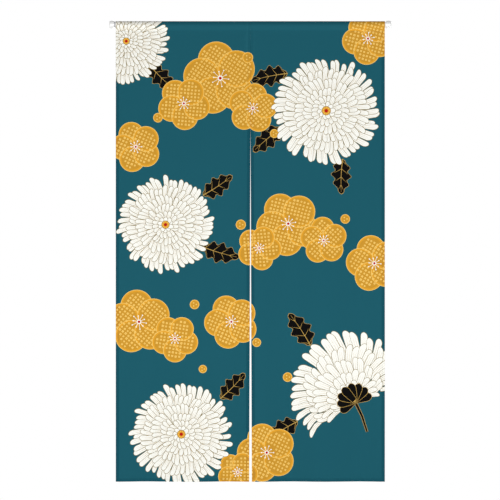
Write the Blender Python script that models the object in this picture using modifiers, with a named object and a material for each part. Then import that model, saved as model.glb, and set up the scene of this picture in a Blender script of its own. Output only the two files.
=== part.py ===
"""Split doorway curtain of two printed cloth panels that hang from one round rod.

Each panel is a single sheet. Its top is turned over the rod and down behind itself, where the turned
layer is stitched to the front one, so the sheet makes its own sleeve. Above the slit the panels are
seamed edge to edge, and below it they part and hang free.

Frame: metres, +Z up, +X to the right of someone who faces the print, and -Y towards that person.
The origin is the middle of the rod's axis.
"""

import math
from collections import namedtuple

import bmesh
import bpy

MM = 0.001

# Cloth
CLOTH_WIDTH = 850 * MM
CLOTH_DROP = 1455 * MM
SHEET_THICKNESS = 1.2 * MM
HEM_THICKNESS = 2.0 * MM
HEM_WIDTH = 10 * MM
HEM_STEP = 1 * MM

# Sleeve round the rod
SLEEVE_DROP = 32 * MM
SLEEVE_TAIL = 7 * MM
SLEEVE_CLEARANCE = 0.5 * MM
LAYER_GAP = 0.4 * MM
STITCH_HEIGHT = 2 * MM
STITCH_INSET = 1 * MM

# Seam and slit between the panels
SEAM_GAP = 0.3 * MM
SLIT_GAP = 9.4 * MM
SLIT_TOP_DEPTH = 285 * MM
SLIT_FULL_DEPTH = 1300 * MM

# Rod and its end caps
ROD_RADIUS = 9 * MM
ROD_WALL = 0.8 * MM
ROD_REACH = 20 * MM
CAP_RADIUS = 12 * MM
CAP_DEPTH = 8 * MM
CAP_ROUNDING = 1.5 * MM
SPIGOT_LENGTH = 15 * MM
SPIGOT_CHAMFER = 1 * MM
PIECE_GAP = 0.3 * MM

# Fineness of the surfaces
FIELD_COLUMNS = 20
FIELD_ROWS = 30
ARC_STEPS = 8
SHOULDER_STEPS = 5
TAIL_STEPS = 1
TURN_STEPS = 48
ROUNDING_STEPS = 3

# Places that follow from the sizes above
SLEEVE_RADIUS = ROD_RADIUS + SLEEVE_CLEARANCE + SHEET_THICKNESS
TOP_Z = SLEEVE_RADIUS
BOTTOM_Z = TOP_Z - CLOTH_DROP
STITCH_Z = TOP_Z - SLEEVE_DROP
LAYER_Y = SHEET_THICKNESS + LAYER_GAP / 2
ROD_END_X = CLOTH_WIDTH / 2 + ROD_REACH
TUBE_END_X = ROD_END_X - CAP_DEPTH - PIECE_GAP

LEFT, RIGHT = -1, 1

# The soft folds, in millimetres. A fold lies about one upright line of the cloth and pushes it away
# from the viewer, or towards the viewer where push is negative. It starts at the depth top below the
# cloth's upper edge, is full after run more, and its line moves sideways by drift on the way down.
Fold = namedtuple("Fold", "side across width push drift top run")
FOLDS = (
    Fold(LEFT, -408, 40, -5.0, 6, 60, 700),
    Fold(LEFT, -318, 62, 7.0, -14, 40, 900),
    Fold(LEFT, -192, 70, -7.5, 18, 40, 1000),
    Fold(LEFT, -78, 52, 6.0, -10, 300, 800),
    Fold(LEFT, -4, 34, -4.0, 0, 300, 700),
    Fold(RIGHT, 22, 44, -7.0, 8, 300, 800),
    Fold(RIGHT, 122, 60, 7.5, 16, 40, 1000),
    Fold(RIGHT, 238, 64, -6.5, -16, 40, 900),
    Fold(RIGHT, 338, 52, 6.0, 10, 60, 900),
    Fold(RIGHT, 418, 36, -4.5, -4, 60, 700),
)

# Colour as red, green and blue from 0 to 1, then roughness and metallic
Finish = namedtuple("Finish", "colour roughness metallic")
CLOTH_FINISH = Finish((0.014, 0.102, 0.138), 0.85, 0.0)
ROD_FINISH = Finish((0.86, 0.86, 0.85), 0.35, 0.0)
CAP_FINISH = Finish((0.80, 0.80, 0.79), 0.60, 0.0)


def clear_scene():
    """Removes whatever the scene holds."""
    for old in list(bpy.data.objects):
        bpy.data.objects.remove(old)


def ease(share):
    """A smooth step from 0 to 1 as share goes from 0 to 1."""
    share = min(max(share, 0.0), 1.0)
    return share * share * (3 - 2 * share)


def fold_push(side, x, z):
    """How far the folds of one panel move the cloth along +Y at this place."""
    depth = TOP_Z - z
    push = 0.0
    for fold in FOLDS:
        if fold.side == side:
            fullness = ease((depth - fold.top * MM) / (fold.run * MM))
            middle = (fold.across + fold.drift * depth / CLOTH_DROP) * MM
            away = (x - middle) / (fold.width * MM)
            push += fold.push * MM * fullness * math.exp(-away * away)
    return push


def half_gap(z):
    """Half the space between the panels: the seam above, then the slit that widens downwards."""
    depth = TOP_Z - z
    share = (depth - SLIT_TOP_DEPTH) / (SLIT_FULL_DEPTH - SLIT_TOP_DEPTH)
    return (SEAM_GAP + (SLIT_GAP - SEAM_GAP) * min(max(share, 0.0), 1.0)) / 2


def spread(low, high, steps):
    """Even places from low to high, both included."""
    return [low + (high - low) * i / steps for i in range(steps + 1)]


def shoulder(share):
    """(y, z) on the sleeve's side: share 0 is level with the rod's axis, and 1 is at the stitches."""
    lean = (1 + math.cos(math.pi * share)) / 2
    return LAYER_Y + (SLEEVE_RADIUS - LAYER_Y) * lean, STITCH_Z * share


def sheet_line():
    """The (y, z) points of a panel's outer face, from the turned end behind, over the rod, to the hem."""
    line = [(LAYER_Y, z) for z in spread(STITCH_Z - SLEEVE_TAIL, STITCH_Z, TAIL_STEPS)]
    line += [shoulder(share) for share in spread(1.0, 0.0, SHOULDER_STEPS)[1:]]
    for turn in spread(0.0, math.pi, ARC_STEPS)[1:]:
        line.append((SLEEVE_RADIUS * math.cos(turn), SLEEVE_RADIUS * math.sin(turn)))
    front = [shoulder(share) for share in spread(0.0, 1.0, SHOULDER_STEPS)[1:]]
    line += [(-y, z) for y, z in front]
    drop = spread(STITCH_Z, BOTTOM_Z + HEM_WIDTH + HEM_STEP, FIELD_ROWS)[1:]
    line += [(-LAYER_Y, z) for z in (*drop, BOTTOM_Z + HEM_WIDTH, BOTTOM_Z)]
    return line


def row_places(side, z):
    """The X of each column of a panel's row, left to right, with a hem's width along both edges."""
    left, right = sorted((side * half_gap(z), side * CLOTH_WIDTH / 2))
    field = spread(left + HEM_WIDTH + HEM_STEP, right - HEM_WIDTH - HEM_STEP, FIELD_COLUMNS)
    return [left, left + HEM_WIDTH, *field, right - HEM_WIDTH, right]


def in_hem(column, columns, y, z):
    """True for a point of the doubled edge: both sides and the foot of the hanging cloth."""
    at_side = min(column, columns - 1 - column) < 2
    hangs = y < 0 and z < STITCH_Z
    return hangs and (at_side or z <= BOTTOM_Z + HEM_WIDTH)


def plain_finish(obj, name, finish):
    """Gives the object a material of one colour."""
    material = bpy.data.materials.new(name)
    material.use_nodes = True
    shader = material.node_tree.nodes["Principled BSDF"]
    shader.inputs["Base Color"].default_value = (*finish.colour, 1.0)
    shader.inputs["Roughness"].default_value = finish.roughness
    shader.inputs["Metallic"].default_value = finish.metallic
    obj.data.materials.append(material)


def new_object(name, mesh, collection):
    """An object for the mesh, in the curtain's collection."""
    obj = bpy.data.objects.new(name, mesh)
    collection.objects.link(obj)
    return obj


def make_stitch_row(name, side, collection):
    """The thin block of thread and cloth that closes a panel's sleeve under the rod."""
    left, right = row_places(side, STITCH_Z)[0], row_places(side, STITCH_Z)[-1]
    width = right - left - 2 * STITCH_INSET
    depth = LAYER_GAP + SHEET_THICKNESS
    bm = bmesh.new()
    bmesh.ops.create_cube(bm, size=1.0)
    bmesh.ops.scale(bm, vec=(width, depth, STITCH_HEIGHT), verts=bm.verts)
    mesh = bpy.data.meshes.new(name)
    bm.to_mesh(mesh)
    bm.free()
    row = new_object(name, mesh, collection)
    row.location = ((left + right) / 2, 0.0, STITCH_Z - STITCH_HEIGHT)
    row.hide_render = True
    row.display_type = "WIRE"
    return row


def make_panel(name, side, collection, stitch_row):
    """One cloth panel: a flat grid, hung over the rod row by row, thickened and stitched."""
    line = sheet_line()
    columns = len(row_places(side, 0.0))
    bm = bmesh.new()
    bmesh.ops.create_grid(bm, x_segments=columns - 1, y_segments=len(line) - 1, size=1.0)
    hem_points = []
    for vert in bm.verts:
        column = round((vert.co.x + 1) / 2 * (columns - 1))
        y, z = line[round((1 - vert.co.y) / 2 * (len(line) - 1))]
        x = row_places(side, z)[column]
        vert.co = (x, y + fold_push(side, x, z), z)
        if in_hem(column, columns, y, z):
            hem_points.append(vert.index)
    mesh = bpy.data.meshes.new(name)
    bm.to_mesh(mesh)
    bm.free()
    mesh.shade_smooth()
    panel = new_object(name, mesh, collection)
    hem = panel.vertex_groups.new(name="hem")
    hem.add(hem_points, 1.0, "REPLACE")
    thickness = panel.modifiers.new("Cloth thickness", "SOLIDIFY")
    thickness.thickness = HEM_THICKNESS
    thickness.offset = -1.0
    thickness.use_even_offset = True
    thickness.vertex_group = hem.name
    thickness.thickness_vertex_group = SHEET_THICKNESS / HEM_THICKNESS
    stitches = panel.modifiers.new("Sleeve stitches", "BOOLEAN")
    stitches.operation = "UNION"
    stitches.object = stitch_row
    plain_finish(panel, "Printed cloth", CLOTH_FINISH)
    return panel


def turned(name, profile, closed, collection, turn_y, finish):
    """A solid of revolution about its own Z, laid along the rod by a quarter turn about Y."""
    bm = bmesh.new()
    verts = [bm.verts.new((radius, 0.0, z)) for radius, z in profile]
    for first, second in zip(verts, verts[1:]):
        bm.edges.new((first, second))
    if closed:
        bm.edges.new((verts[-1], verts[0]))
    mesh = bpy.data.meshes.new(name)
    bm.to_mesh(mesh)
    bm.free()
    obj = new_object(name, mesh, collection)
    obj.rotation_euler.y = turn_y
    screw = obj.modifiers.new("Turn", "SCREW")
    screw.steps = screw.render_steps = TURN_STEPS
    screw.use_merge_vertices = True
    screw.merge_threshold = 0.00001
    plain_finish(obj, name, finish)
    return obj


def make_rod(collection):
    """The rod's tube, which stops just short of the cap at each end."""
    inner = ROD_RADIUS - ROD_WALL
    profile = [
        (ROD_RADIUS, TUBE_END_X),
        (ROD_RADIUS, -TUBE_END_X),
        (inner, -TUBE_END_X),
        (inner, TUBE_END_X),
    ]
    return turned("rod", profile, True, collection, math.pi / 2, ROD_FINISH)


def cap_profile():
    """(radius, z) of an end cap: its face at z = CAP_DEPTH, its shoulder at 0, its spigot below."""
    profile = [(0.0, CAP_DEPTH)]
    centre_r, centre_z = CAP_RADIUS - CAP_ROUNDING, CAP_DEPTH - CAP_ROUNDING
    for i in range(ROUNDING_STEPS + 1):
        turn = math.pi / 2 * (1 - i / ROUNDING_STEPS)
        profile.append(
            (centre_r + CAP_ROUNDING * math.cos(turn), centre_z + CAP_ROUNDING * math.sin(turn))
        )
    spigot = ROD_RADIUS - ROD_WALL - PIECE_GAP
    profile += [
        (CAP_RADIUS, 0.0),
        (spigot, 0.0),
        (spigot, SPIGOT_CHAMFER - SPIGOT_LENGTH),
        (spigot - SPIGOT_CHAMFER, -SPIGOT_LENGTH),
        (0.0, -SPIGOT_LENGTH),
    ]
    return profile


def make_cap(name, side, collection):
    """An end cap that presses on the doorway's side, with its spigot inside the tube."""
    cap = turned(name, cap_profile(), False, collection, side * math.pi / 2, CAP_FINISH)
    cap.location.x = side * (ROD_END_X - CAP_DEPTH)
    return cap


def main():
    """Builds every piece of the curtain."""
    clear_scene()
    collection = bpy.data.collections.new("Split doorway curtain")
    joining = bpy.data.collections.new("Joining blocks")
    for new in (collection, joining):
        bpy.context.scene.collection.children.link(new)
    for word, side in (("left", LEFT), ("right", RIGHT)):
        stitch_row = make_stitch_row(f"stitch_row_{word}", side, joining)
        make_panel(f"panel_{word}", side, collection, stitch_row)
        make_cap(f"rod_cap_{word}", side, collection)
    make_rod(collection)


main()
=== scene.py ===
"""Looks of a split doorway curtain: two printed cloth panels in a sleeve on a white tension rod.

The frame's lengths are metres with +Z up. The origin is the middle of the rod's axis, +X runs to the
right of someone who faces the print, and -Y points towards that person. Sizes in the classes below
are millimetres. The print is drawn on the flat cloth: across from the curtain's middle, and up along
the cloth from its foot.
"""

from __future__ import annotations

import logging
import math
import random
from collections.abc import Callable
from dataclasses import dataclass, field
from enum import Enum

import bpy
import numpy as np
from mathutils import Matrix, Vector
from mathutils.geometry import delaunay_2d_cdt


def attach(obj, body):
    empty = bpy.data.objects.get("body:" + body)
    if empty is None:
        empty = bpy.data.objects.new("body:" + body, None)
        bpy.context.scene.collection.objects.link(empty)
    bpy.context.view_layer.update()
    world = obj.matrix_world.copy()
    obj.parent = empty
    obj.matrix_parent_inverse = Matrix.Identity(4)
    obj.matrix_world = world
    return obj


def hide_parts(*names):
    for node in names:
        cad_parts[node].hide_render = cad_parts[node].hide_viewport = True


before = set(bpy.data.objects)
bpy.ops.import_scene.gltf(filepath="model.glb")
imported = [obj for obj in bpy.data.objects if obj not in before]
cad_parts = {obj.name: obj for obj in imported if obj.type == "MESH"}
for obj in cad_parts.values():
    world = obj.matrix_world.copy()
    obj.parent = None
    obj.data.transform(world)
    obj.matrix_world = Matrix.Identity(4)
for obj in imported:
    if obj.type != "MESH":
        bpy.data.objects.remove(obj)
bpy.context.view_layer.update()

LOG = logging.getLogger("curtain")
MM = 0.001
BODY = "root"


class Side(Enum):
    """The two halves of the curtain, as someone who faces the print names them."""

    LEFT = -1
    RIGHT = 1


@dataclass(frozen=True)
class Dye:
    """One colour of the print.

    Attributes:
        title: What a dyer would call it.
        screen: Red, green and blue as a screen shows them, from 0 to 255.
        fill: True for a broad field, whose threads take the dye unevenly and which carries the painted
            shade and highlight, and False for fine work.
    """

    title: str
    screen: tuple[int, int, int]
    fill: bool = False

    def linear(self) -> tuple[float, float, float, float]:
        """The colour as a shader takes it.

        Returns:
            Red, green and blue in linear light, and an alpha of 1.
        """
        shares = [level / 255 for level in self.screen]
        out = [s / 12.92 if s <= 0.04045 else ((s + 0.055) / 1.055) ** 2.4 for s in shares]
        return (out[0], out[1], out[2], 1.0)


class Ink(Enum):
    """Every colour that the cloth is printed with."""

    GROUND = Dye("teal ground", (27, 90, 104), fill=True)
    OCHRE = Dye("ochre", (208, 152, 49), fill=True)
    WHITE = Dye("petal white", (255, 255, 248), fill=True)
    AMBER = Dye("amber rim", (231, 165, 47))
    STRAW = Dye("straw dots", (252, 208, 112))
    OLIVE = Dye("olive line", (134, 112, 44))
    BLACK = Dye("leaf black", (5, 4, 4))
    GOLD = Dye("gold line", (196, 160, 84))
    RED = Dye("red", (186, 22, 28))


@dataclass(frozen=True)
class Fold:
    """A soft upright fold, in millimetres.

    Attributes:
        side: The panel that it is in.
        across: Where its line starts, from the curtain's middle.
        width: How far from its line it fades.
        push: How far it moves the cloth away from the viewer; towards the viewer where negative.
        drift: How far its line moves sideways by the foot of the cloth.
        top: How far below the cloth's upper edge it starts.
        run: How much further down it is full.
    """

    side: Side
    across: float
    width: float
    push: float
    drift: float
    top: float
    run: float


FOLDS = (
    Fold(Side.LEFT, -408, 40, -5.0, 6, 60, 700),
    Fold(Side.LEFT, -318, 62, 7.0, -14, 40, 900),
    Fold(Side.LEFT, -192, 70, -7.5, 18, 40, 1000),
    Fold(Side.LEFT, -78, 52, 6.0, -10, 300, 800),
    Fold(Side.LEFT, -4, 34, -4.0, 0, 300, 700),
    Fold(Side.RIGHT, 22, 44, -7.0, 8, 300, 800),
    Fold(Side.RIGHT, 122, 60, 7.5, 16, 40, 1000),
    Fold(Side.RIGHT, 238, 64, -6.5, -16, 40, 900),
    Fold(Side.RIGHT, 338, 52, 6.0, 10, 60, 900),
    Fold(Side.RIGHT, 418, 36, -4.5, -4, 60, 700),
)


def ease(share: np.ndarray) -> np.ndarray:
    """A smooth step from 0 to 1 as share goes from 0 to 1."""
    share = np.clip(share, 0.0, 1.0)
    return share * share * (3 - 2 * share)


def even_rows(low: float, high: float, step: float) -> np.ndarray:
    """Even places from low to high, both included, about a step apart.

    Args:
        low: The first place.
        high: The last place.
        step: The wished distance between places.

    Returns:
        The places.
    """
    return np.linspace(low, high, max(round((high - low) / step), 1) + 1)


@dataclass(frozen=True)
class PaintedShadeAndHighlight:
    """Painted shade on the hems and their folded edges, and painted highlights on the seam's ridge and
    the sleeve's swell; lengths are in millimetres.

    Attributes:
        foot: The painted shade of the foot's hem, where a side's hem has 1.
        seam: The painted shade of the inner hem above the slit.
        fold: The painted shade that a side's folded edge adds, where it turns away from the light.
        fold_reach: How far in from the edge that painted shade reaches.
        foot_fold: The painted shade that the foot's folded edge adds, where it turns under, away from
            the light.
        foot_reach: How far up from the foot that painted shade reaches.
        foot_run: How much further down it is full.
        slit_above: How far above the slit the painted shade of its hems starts.
        slit_run: How much further down that painted shade is full.
        sleeve_run: How far below the sleeve the side hems' painted shade is full.
        ridge_highlight: The painted highlight on the seam's ridge, on the left and on the right panel.
        ridge_reach: Half the ridge's width.
        swell: The painted highlight on the sleeve's swell.
        swell_z: The height of the swell.
        swell_reach: Half the swell's width.
        swell_run: How far into the sleeve that painted highlight is full.
    """

    foot: float = 0.45
    seam: float = 0.12
    fold: float = 0.7
    fold_reach: float = 2.6
    foot_fold: float = 1.1
    foot_reach: float = 3.4
    foot_run: float = 2.0
    slit_above: float = 20.0
    slit_run: float = 60.0
    sleeve_run: float = 12.0
    ridge_highlight: tuple[float, float] = (0.8, 0.35)
    ridge_reach: float = 1.3
    swell: float = 0.36
    swell_z: float = -12.5
    swell_reach: float = 5.5
    swell_run: float = 8.0


@dataclass
class Cloth:
    """The hung cloth's sizes in millimetres, and the way from the flat cloth to where it hangs.

    A flat place is a row of two numbers: across from the curtain's middle, and up from the foot.

    Attributes:
        width: The whole curtain's width.
        drop: From the upper edge to the foot.
        sheet: The thickness of single cloth.
        hem_sheet: The thickness of a hem.
        hem: A hem's width.
        hem_start: How far below the sleeve the hems' forms are full.
        hem_lip: How far a hem's band stands proud.
        lip_inset: How far inside the hem's line the band starts to slope off.
        lip_run: The slope's width.
        edge_round: How far in from its edge a hem rounds off.
        edge_thin: The thickness left at the very edge, as a share of the full one.
        thick_below: How far below the sleeve a hem starts to thicken.
        thick_run: How much further down it has its full thickness.
        stitch_inset: From the edge to the line of stitches.
        trough: The depth of the trough along the stitches.
        trough_reach: Half the trough's width.
        top_z: The height of the upper edge above the rod's axis.
        sleeve_sag: How far below the axis the sleeve is widest.
        sleeve_reach: Half the sleeve's depth from front to back.
        sleeve_drop: From the upper edge to the stitches that close the sleeve.
        sleeve_round: How much of the sleeve's lower part is a smooth bend; the rest is straight.
        tail: From those stitches to the turned end behind.
        layer_gap: The space between the front and the turned end.
        front_y: Where the printed face hangs.
        slit_across: The place of the slit's middle.
        slit: Depths below the upper edge, each with the gap between the panels there.
        ripple: The height of the slow ripple along the hems.
        ripple_length: From one ripple to the next.
        ripple_reach: How far from the edge the ripple fades.
        ripple_slant: How much faster the ripple runs up the cloth than across it.
        ripple_swing: How much its height comes and goes.
        ripple_beat: How fast it does so, in swings for each ripple.
        bend_reach: How far apart places are compared to find the cloth's own direction.
        shade_reach: The same for the direction that a face is shaded by.
        painted_shade_and_highlight: The painted shade on the hems and their folded edges, and the
            painted highlights on the seam's ridge and the sleeve's swell.
        path: The cloth's way from its foot to its turned end: the length so far, and the y and z.
    """

    width: float = 850.0
    drop: float = 1455.0
    sheet: float = 0.9
    hem_sheet: float = 1.7
    hem: float = 10.0
    hem_start: float = 60.0
    hem_lip: float = 0.25
    lip_inset: float = 0.6
    lip_run: float = 1.6
    edge_round: float = 0.9
    edge_thin: float = 0.12
    thick_below: float = 8.0
    thick_run: float = 50.0
    stitch_inset: float = 8.0
    trough: float = 0.28
    trough_reach: float = 1.1
    top_z: float = 10.7
    sleeve_sag: float = 3.0
    sleeve_reach: float = 11.5
    sleeve_drop: float = 32.0
    sleeve_round: float = 0.65
    tail: float = 7.0
    layer_gap: float = 0.05
    front_y: float = -1.4
    slit_across: float = 0.6
    slit: tuple[tuple[float, float], ...] = (
        (296, 0.01),
        (350, 0.1),
        (615, 2.6),
        (800, 3.4),
        (1455, 8.6),
    )
    ripple: float = 0.45
    ripple_length: float = 41.0
    ripple_reach: float = 16.0
    ripple_slant: float = 1.6
    ripple_swing: float = 0.4
    ripple_beat: float = 0.37
    bend_reach: float = 0.8
    shade_reach: float = 0.06
    painted_shade_and_highlight: PaintedShadeAndHighlight = PaintedShadeAndHighlight()
    path: np.ndarray = field(init=False, repr=False)

    def __post_init__(self) -> None:
        """Works out the cloth's path from its foot, up and over the rod, to its turned end."""
        back_y = self.front_y + 2 * self.sheet + self.layer_gap
        rows = np.linspace(0.0, 1.0, 161)
        bend = (1 + np.cos(np.pi * rows)) / 2
        lean = self.sleeve_round * bend + (1 - self.sleeve_round) * (1 - rows)
        reach, rise = self.sleeve_reach, self.top_z + self.sleeve_sag
        z = -self.sleeve_sag + (self.stitch_z + self.sleeve_sag) * rows
        shoulder = np.stack([self.front_y - (reach + self.front_y) * lean, z], 1)
        behind = np.stack([back_y + (reach - back_y) * lean, z], 1)
        arc = np.pi * (1 - rows[1:-1])
        over = np.stack([reach * np.cos(arc), rise * np.sin(arc) - self.sleeve_sag], 1)
        foot, end = [(self.front_y, self.foot_z)], [(back_y, self.stitch_z - self.tail)]
        corners = np.concatenate([foot, shoulder[::-1], over, behind, end])
        steps = np.linalg.norm(np.diff(corners, axis=0), axis=1)
        reached = np.concatenate([[0.0], np.cumsum(steps)])
        self.path = np.column_stack([reached, corners])

    @property
    def foot_z(self) -> float:
        """The height of the cloth's foot."""
        return self.top_z - self.drop

    @property
    def stitch_z(self) -> float:
        """The height of the stitches that close the sleeve."""
        return self.top_z - self.sleeve_drop

    @property
    def length(self) -> float:
        """The flat cloth's length from its foot to its turned end."""
        return float(self.path[-1, 0])

    @property
    def sleeve_up(self) -> float:
        """How far up the flat cloth the sleeve starts."""
        return self.stitch_z - self.foot_z

    @property
    def slit_up(self) -> float:
        """How far up the flat cloth the slit ends."""
        return self.drop - self.slit[0][0]

    @property
    def hem_line(self) -> float:
        """How far in from an edge a place still counts as in its hem."""
        return self.hem + 0.01

    def edges(self, side: Side, up: np.ndarray) -> tuple[np.ndarray, np.ndarray]:
        """The left and right edge of a panel.

        Args:
            side: The panel.
            up: Places up the flat cloth.

        Returns:
            The places across of both edges; the inner one follows the seam and the widening slit.
        """
        depths, gaps = zip(*self.slit)
        half_gap = np.interp(self.drop - up, depths, gaps) / 2
        inner = self.slit_across + side.value * half_gap
        outer = np.full_like(inner, side.value * self.width / 2)
        return np.minimum(inner, outer), np.maximum(inner, outer)

    def to_edge(self, side: Side, flat: np.ndarray) -> np.ndarray:
        """How far flat places are from the nearest hemmed edge."""
        left, right = self.edges(side, flat[:, 1])
        return np.minimum(np.minimum(flat[:, 0] - left, right - flat[:, 0]), flat[:, 1])

    def fold_push(self, side: Side, x: np.ndarray, z: np.ndarray) -> np.ndarray:
        """How far the folds move the cloth along +Y.

        Args:
            side: The panel.
            x: Places across.
            z: Heights.

        Returns:
            The moves.
        """
        depth = self.top_z - z
        push = np.zeros_like(x)
        for fold in FOLDS:
            if fold.side is side:
                middle = fold.across + fold.drift * depth / self.drop
                away = (x - middle) / fold.width
                push += fold.push * ease((depth - fold.top) / fold.run) * np.exp(-away * away)
        return push

    def relief(self, side: Side, flat: np.ndarray) -> np.ndarray:
        """The small forms that sewing gives the cloth, as moves along +Y.

        Args:
            side: The panel.
            flat: Flat places.

        Returns:
            The moves: the trough along the hem's stitches, the hem's raised band and its slow ripple.
        """
        fade = ease((self.sleeve_up - flat[:, 1]) / self.hem_start)
        away = self.to_edge(side, flat)
        off_line = (away - self.stitch_inset) / self.trough_reach
        trough = self.trough * np.exp(-off_line * off_line)
        band = -self.hem_lip * (1 - ease((away - self.hem + self.lip_inset) / self.lip_run))
        turns = 2 * np.pi * (flat[:, 0] + self.ripple_slant * flat[:, 1]) / self.ripple_length
        beat = 1 - self.ripple_swing + self.ripple_swing * np.sin(turns * self.ripple_beat)
        wave = self.ripple * beat * np.sin(turns) * np.exp(-np.abs(away) / self.ripple_reach)
        return fade * (trough + band + wave)

    def unrounded(self, side: Side, flat: np.ndarray) -> np.ndarray:
        """Where flat places hang on the printed face, before a hem's edge rounds off.

        Args:
            side: The panel.
            flat: Flat places.

        Returns:
            The points, in millimetres.
        """
        y = np.interp(flat[:, 1], self.path[:, 0], self.path[:, 1])
        z = np.interp(flat[:, 1], self.path[:, 0], self.path[:, 2])
        push = self.fold_push(side, flat[:, 0], z) + self.relief(side, flat)
        return np.stack([flat[:, 0], y + push, z], 1)

    def face(self, side: Side, flat: np.ndarray, wrong: bool = False) -> np.ndarray:
        """Where flat places hang on one face of the cloth.

        Args:
            side: The panel.
            flat: Flat places.
            wrong: True for the wrong side, and False for the printed one.

        Returns:
            The points, in millimetres.
        """
        away = self.to_edge(side, flat)
        thickened = ease((self.sleeve_up - self.thick_below - flat[:, 1]) / self.thick_run)
        folded = np.where(away < self.hem_line, thickened, 0.0)
        full = self.sheet + (self.hem_sheet - self.sheet) * folded
        over = np.clip(1 - away / self.edge_round, 0.0, 1.0)
        thin = full * np.maximum(np.sqrt(1 - over * over), self.edge_thin)
        depth = (full + thin) / 2 if wrong else (full - thin) / 2
        out = facing(lambda place: self.unrounded(side, place), flat, self.bend_reach, self.length)
        return self.unrounded(side, flat) - out * depth[:, None]

    def normals(self, side: Side, flat: np.ndarray, wrong: bool = False) -> np.ndarray:
        """The outward directions of one face at flat places.

        Args:
            side: The panel.
            flat: Flat places.
            wrong: True for the wrong side.

        Returns:
            The unit directions.
        """
        out = facing(lambda place: self.face(side, place, wrong), flat, self.shade_reach, self.length)
        return -out if wrong else out

    def tone(self, side: Side, flat: np.ndarray) -> np.ndarray:
        """How much painted shade darkens the print, and painted highlight lightens it.

        Args:
            side: The panel.
            flat: Flat places.

        Returns:
            About 1 of painted shade in a hem and more at its folded edge, 0 in single cloth, and less
            where a painted highlight lies on the seam's ridge and the sleeve's swell.
        """
        look, foot = self.painted_shade_and_highlight, flat[:, 1]
        left, right = self.edges(side, foot)
        inner = right - flat[:, 0] if side is Side.LEFT else flat[:, 0] - left
        outer = flat[:, 0] - left if side is Side.LEFT else right - flat[:, 0]
        slit = ease((self.slit_up + look.slit_above - foot) / look.slit_run)
        hung = ease((self.sleeve_up - foot) / look.sleeve_run)
        at_edge = np.minimum(np.where(slit > 0.5, inner, outer), outer)
        # Painted shade: the hems darker than single cloth, and darker still along the folded side edges
        # and the foot.
        band = np.where(outer < self.hem_line, hung, 0.0)
        band = np.maximum(band, np.where(inner < self.hem_line, np.maximum(slit, look.seam), 0.0))
        band = np.maximum(band, np.where(foot < self.hem_line, look.foot, 0.0))
        band += look.fold * ease((look.fold_reach - at_edge) / look.fold_reach) * hung
        band += look.foot_fold * ease((look.foot_reach - foot) / look.foot_run)
        # Painted highlights: a paler line on the seam's ridge above the slit, and a paler band on the
        # sleeve's swell.
        ridge = (inner - self.hem) / look.ridge_reach
        ridge_highlight = look.ridge_highlight[0] if side is Side.LEFT else look.ridge_highlight[1]
        height = np.interp(foot, self.path[:, 0], self.path[:, 2])
        swell = (height - look.swell_z) / look.swell_reach
        painted_on = look.swell * np.exp(-swell * swell) * ease((foot - self.sleeve_up) / look.swell_run)
        return band - ridge_highlight * np.exp(-ridge * ridge) * (1 - slit) - painted_on


def facing(
    surface: Callable[[np.ndarray], np.ndarray], flat: np.ndarray, reach: float, length: float
) -> np.ndarray:
    """The unit directions square to a surface at flat places, towards its printed side.

    Args:
        surface: A function from flat places to points.
        flat: Flat places.
        reach: How far apart the compared points are.
        length: The flat cloth's length.

    Returns:
        The directions.
    """
    over, up = np.array([reach, 0.0]), np.array([0.0, reach])
    across = surface(flat + over) - surface(flat - over)
    high, low = flat + up, flat - up
    high[:, 1] = np.minimum(high[:, 1], length)
    # The cloth has no place below its foot, so the comparison ends just past it.
    low[:, 1] = np.maximum(low[:, 1], -0.02)
    along = surface(high) - surface(low)
    out = np.cross(across, along)
    return out / np.linalg.norm(out, axis=1)[:, None]


@dataclass(frozen=True)
class Shape:
    """A flat shape of the print.

    Attributes:
        outline: Its corners as complex numbers: across plus up times i, in millimetres.
        ink: Its colour.
    """

    outline: np.ndarray
    ink: Ink

    def holds(self, places: np.ndarray) -> np.ndarray:
        """Which flat places lie inside the shape.

        Args:
            places: Flat places, as rows of two numbers.

        Returns:
            True for each place inside.
        """
        x, y = places[:, :1], places[:, 1:]
        ax, ay = self.outline.real, self.outline.imag
        bx, by = np.roll(ax, -1), np.roll(ay, -1)
        rise = np.where(by == ay, 1.0, by - ay)
        crossed = ((ay > y) != (by > y)) & (x < ax + (y - ay) * (bx - ax) / rise)
        return crossed.sum(1) % 2 == 1


def ring(middle: complex, radius: float, steps: int, start: float = 0.0) -> np.ndarray:
    """The corners of a round shape.

    Args:
        middle: Its middle.
        radius: Its radius.
        steps: How many corners it has.
        start: The first corner's angle in radians.

    Returns:
        The corners, counter-clockwise.
    """
    return middle + radius * np.exp(1j * (start + 2 * np.pi * np.arange(steps) / steps))


def strip(spine: np.ndarray, halves: np.ndarray) -> np.ndarray:
    """The outline of a tapering line.

    Args:
        spine: The line's places.
        halves: Half its width at each place.

    Returns:
        The outline.
    """
    way = np.gradient(spine)
    out = 1j * way / np.abs(way) * halves
    return np.concatenate([spine - out, (spine + out)[::-1]])


@dataclass
class Motif:
    """A figure of the print, drawn about its own middle and then placed.

    Attributes:
        across: Its middle's place across the flat cloth.
        up: Its middle's place up the flat cloth.
        size: Its radius or length.
        turn: How far it is turned, in degrees.
        seed: Fixes its small unevenness.
    """

    across: float
    up: float
    size: float
    turn: float = 0.0
    seed: int = 1

    def put(self, points: np.ndarray, ink: Ink) -> Shape:
        """The shape with these points about the motif's own middle."""
        way = np.exp(1j * math.radians(self.turn))
        return Shape(self.across + 1j * self.up + way * points, ink)

    def shapes(self) -> list[Shape]:
        """The motif's shapes, from the lowest to the uppermost."""
        raise NotImplementedError


@dataclass(frozen=True)
class PetalRow:
    """One row of a bloom's petals, in shares of the bloom's radius.

    Attributes:
        count: How many petals a full round has.
        base: Where they start.
        tip: Where they end.
        bend: How far their tips lean sideways.
    """

    count: int
    base: float
    tip: float
    bend: float


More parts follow.
